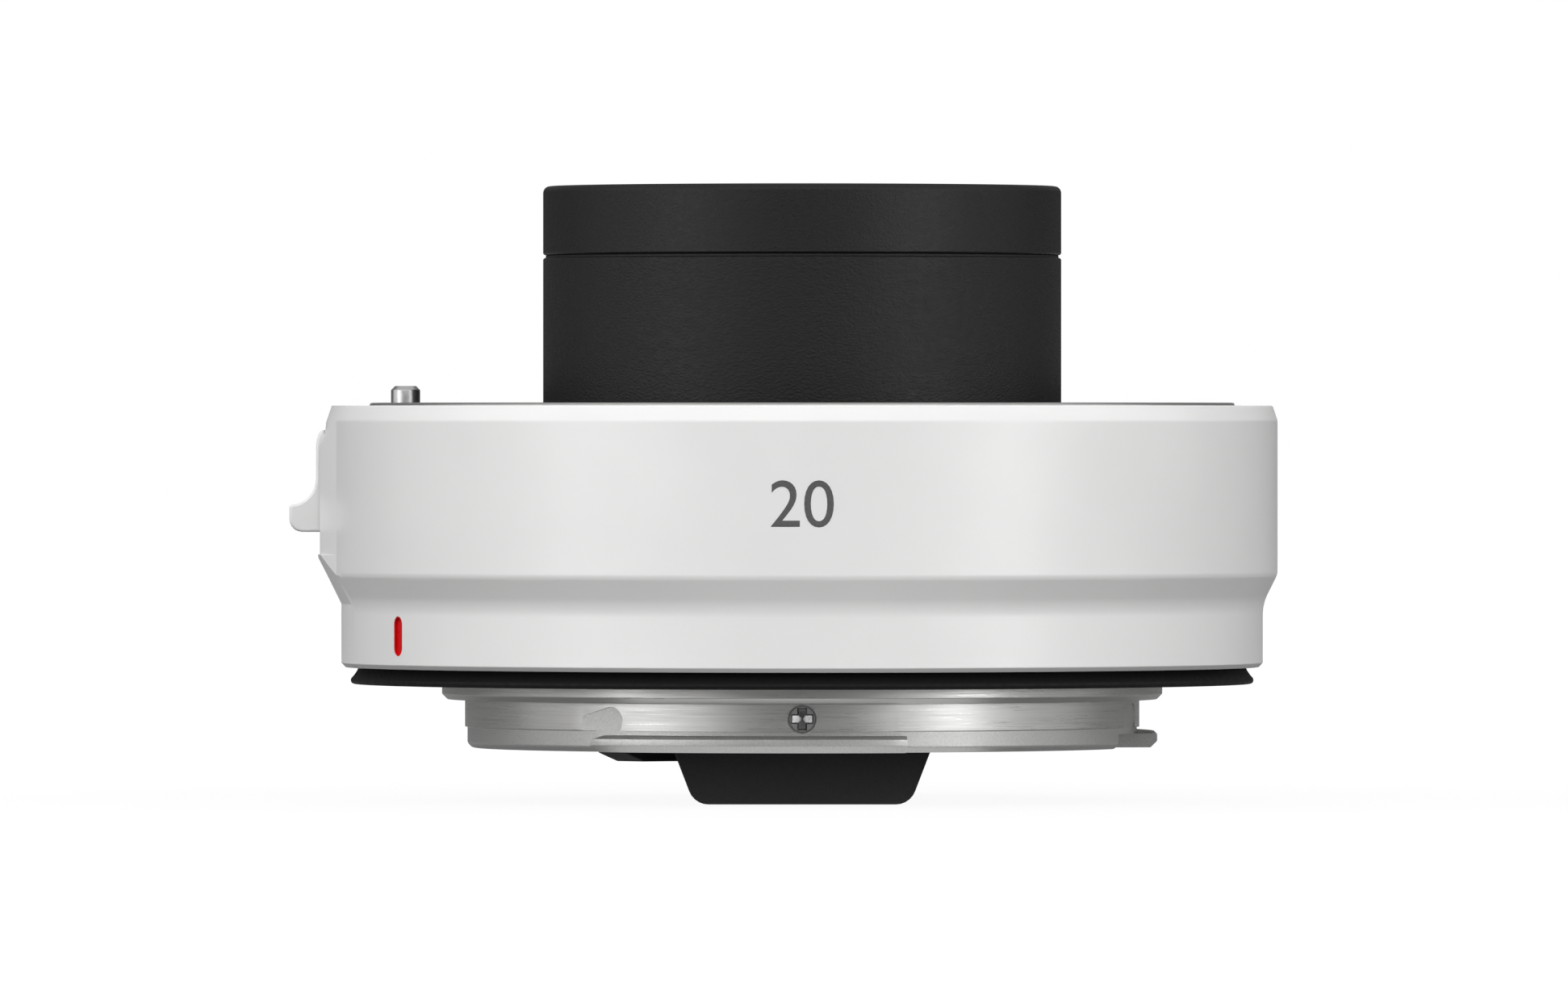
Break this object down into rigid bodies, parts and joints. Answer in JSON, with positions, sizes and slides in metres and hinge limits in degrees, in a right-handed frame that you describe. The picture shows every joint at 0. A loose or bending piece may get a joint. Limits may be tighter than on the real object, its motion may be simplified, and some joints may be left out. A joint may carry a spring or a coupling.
{
  "type": "camera teleconverter",
  "caption": "Short round optical coupler between a camera and a lens: bayonets at both ends, a front barrel that reaches into the lens, spring contacts and a sprung lock release",
  "frame": {"origin": "on the optical axis, in the plane of the camera-side flange", "axes": "+Z along the optical axis towards the lens, -X towards the release lever and lock pin"},
  "size_m": [0.0739, 0.0712, 0.046],
  "materials": {
    "shell_paint": "white satin paint with a fine grain on a light alloy shell",
    "index_red": "red paint laid in a recess",
    "chassis_metal": "plain cast alloy",
    "mount_steel": "turned, with fine rings round the axis",
    "screw_steel": "plain steel",
    "spring_steel": "bright spring steel",
    "pin_chrome": "polished",
    "seal_rubber": "matte black rubber",
    "black_plastic": "matte black",
    "barrel_black": "black satin finish with a fine grain",
    "cell_black": "black anodised, matte",
    "contact_gold": "gold plated",
    "board_green": "solder mask on a glass fibre board",
    "chip_black": "moulded chip bodies",
    "flex_amber": "thin flexible film",
    "lens_glass": "polished and coated"
  },
  "bodies": {
    "housing": {"body_shell": "shell_paint", "camera_index": "index_red", "lens_index": "index_red", "chassis": "chassis_metal", "rear_plate": "chassis_metal", "camera_mount": "mount_steel", "lens_mount": "mount_steel", "camera_mount_screws": "screw_steel", "lens_mount_screws": "screw_steel", "baffle_screws": "screw_steel", "rear_contact_screws": "screw_steel", "board_screws": "screw_steel", "pin_block_screws": "screw_steel", "mount_shim": "screw_steel", "contact_springs": "spring_steel", "lock_spring": "spring_steel", "lens_mount_spring": "spring_steel", "mount_seal": "seal_rubber", "rear_baffle": "black_plastic", "rear_contact_block": "black_plastic", "pin_block": "black_plastic", "well_liner": "black_plastic", "front_barrel": "barrel_black", "front_ring": "barrel_black", "barrel_screws": "barrel_black", "front_cell": "cell_black", "rear_cell": "cell_black", "front_retainer": "cell_black", "middle_retainer": "cell_black", "cell_spacer": "cell_black", "rear_retainer": "cell_black", "contact_pads": "contact_gold", "circuit_board": "board_green", "board_chips": "chip_black", "rear_flex": "flex_amber", "front_flex": "flex_amber", "lens_element_1": "lens_glass", "lens_element_2": "lens_glass", "lens_element_3": "lens_glass", "lens_element_4": "lens_glass", "lens_element_5": "lens_glass", "lens_element_6": "lens_glass", "lens_element_7": "lens_glass"},
    "release_slider": {"release_lever": "shell_paint", "lever_screws": "screw_steel", "lever_carriage": "screw_steel", "lock_pin": "pin_chrome"},
    "contact_pin_01": {"contact_pin_01": "contact_gold"},
    "contact_pin_02": {"contact_pin_02": "contact_gold"},
    "contact_pin_03": {"contact_pin_03": "contact_gold"},
    "contact_pin_04": {"contact_pin_04": "contact_gold"},
    "contact_pin_05": {"contact_pin_05": "contact_gold"},
    "contact_pin_06": {"contact_pin_06": "contact_gold"},
    "contact_pin_07": {"contact_pin_07": "contact_gold"},
    "contact_pin_08": {"contact_pin_08": "contact_gold"},
    "contact_pin_09": {"contact_pin_09": "contact_gold"},
    "contact_pin_10": {"contact_pin_10": "contact_gold"},
    "contact_pin_11": {"contact_pin_11": "contact_gold"},
    "contact_pin_12": {"contact_pin_12": "contact_gold"}
  },
  "joints": [
    {"name": "release_slide", "type": "slide", "parent": "housing", "child": "release_slider", "axis": [0, 0, -1], "range_m": [0, 0.0016], "stiffness_N_per_m": 800, "springref_m": -0.003, "deforming": ["lock_spring"]},
    {"name": "contact_pin_01_press", "type": "slide", "parent": "housing", "child": "contact_pin_01", "axis": [0, 0, -1], "range_m": [0, 0.0008], "stiffness_N_per_m": 300, "springref_m": -0.001, "deforming": ["contact_springs"]},
    {"name": "contact_pin_02_press", "type": "slide", "parent": "housing", "child": "contact_pin_02", "axis": [0, 0, -1], "range_m": [0, 0.0008], "stiffness_N_per_m": 300, "springref_m": -0.001, "deforming": ["contact_springs"]},
    {"name": "contact_pin_03_press", "type": "slide", "parent": "housing", "child": "contact_pin_03", "axis": [0, 0, -1], "range_m": [0, 0.0008], "stiffness_N_per_m": 300, "springref_m": -0.001, "deforming": ["contact_springs"]},
    {"name": "contact_pin_04_press", "type": "slide", "parent": "housing", "child": "contact_pin_04", "axis": [0, 0, -1], "range_m": [0, 0.0008], "stiffness_N_per_m": 300, "springref_m": -0.001, "deforming": ["contact_springs"]},
    {"name": "contact_pin_05_press", "type": "slide", "parent": "housing", "child": "contact_pin_05", "axis": [0, 0, -1], "range_m": [0, 0.0008], "stiffness_N_per_m": 300, "springref_m": -0.001, "deforming": ["contact_springs"]},
    {"name": "contact_pin_06_press", "type": "slide", "parent": "housing", "child": "contact_pin_06", "axis": [0, 0, -1], "range_m": [0, 0.0008], "stiffness_N_per_m": 300, "springref_m": -0.001, "deforming": ["contact_springs"]},
    {"name": "contact_pin_07_press", "type": "slide", "parent": "housing", "child": "contact_pin_07", "axis": [0, 0, -1], "range_m": [0, 0.0008], "stiffness_N_per_m": 300, "springref_m": -0.001, "deforming": ["contact_springs"]},
    {"name": "contact_pin_08_press", "type": "slide", "parent": "housing", "child": "contact_pin_08", "axis": [0, 0, -1], "range_m": [0, 0.0008], "stiffness_N_per_m": 300, "springref_m": -0.001, "deforming": ["contact_springs"]},
    {"name": "contact_pin_09_press", "type": "slide", "parent": "housing", "child": "contact_pin_09", "axis": [0, 0, -1], "range_m": [0, 0.0008], "stiffness_N_per_m": 300, "springref_m": -0.001, "deforming": ["contact_springs"]},
    {"name": "contact_pin_10_press", "type": "slide", "parent": "housing", "child": "contact_pin_10", "axis": [0, 0, -1], "range_m": [0, 0.0008], "stiffness_N_per_m": 300, "springref_m": -0.001, "deforming": ["contact_springs"]},
    {"name": "contact_pin_11_press", "type": "slide", "parent": "housing", "child": "contact_pin_11", "axis": [0, 0, -1], "range_m": [0, 0.0008], "stiffness_N_per_m": 300, "springref_m": -0.001, "deforming": ["contact_springs"]},
    {"name": "contact_pin_12_press", "type": "slide", "parent": "housing", "child": "contact_pin_12", "axis": [0, 0, -1], "range_m": [0, 0.0008], "stiffness_N_per_m": 300, "springref_m": -0.001, "deforming": ["contact_springs"]}
  ]
}
